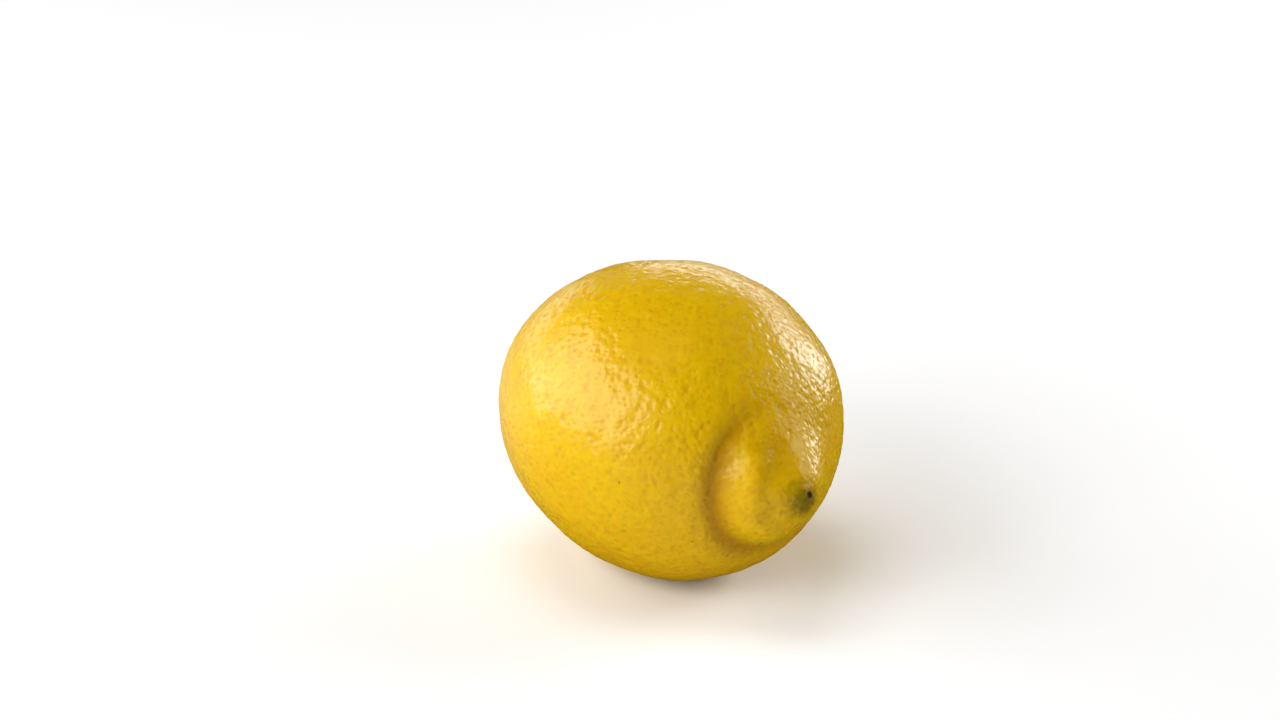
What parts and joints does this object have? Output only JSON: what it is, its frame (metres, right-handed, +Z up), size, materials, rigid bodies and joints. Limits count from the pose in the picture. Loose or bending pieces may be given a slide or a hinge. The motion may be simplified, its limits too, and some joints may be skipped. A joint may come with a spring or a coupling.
{
  "type": "lemon",
  "caption": "Whole ripe lemon lying on its side, with a furrowed green-tipped nipple at one end and a dry stem button at the other.",
  "frame": {"origin": "middle of the small flat spot that the fruit rests on", "axes": "+Z up from the resting surface; +X along the fruit's long axis, from the stem end to the nipple; +Y completes the right-handed frame"},
  "size_m": [0.085, 0.0632, 0.0603],
  "materials": {
    "peel": "satin",
    "dry_calyx": "matte"
  },
  "bodies": {
    "root": {"fruit": "peel", "stem_button": "dry_calyx"}
  },
  "joints": []
}
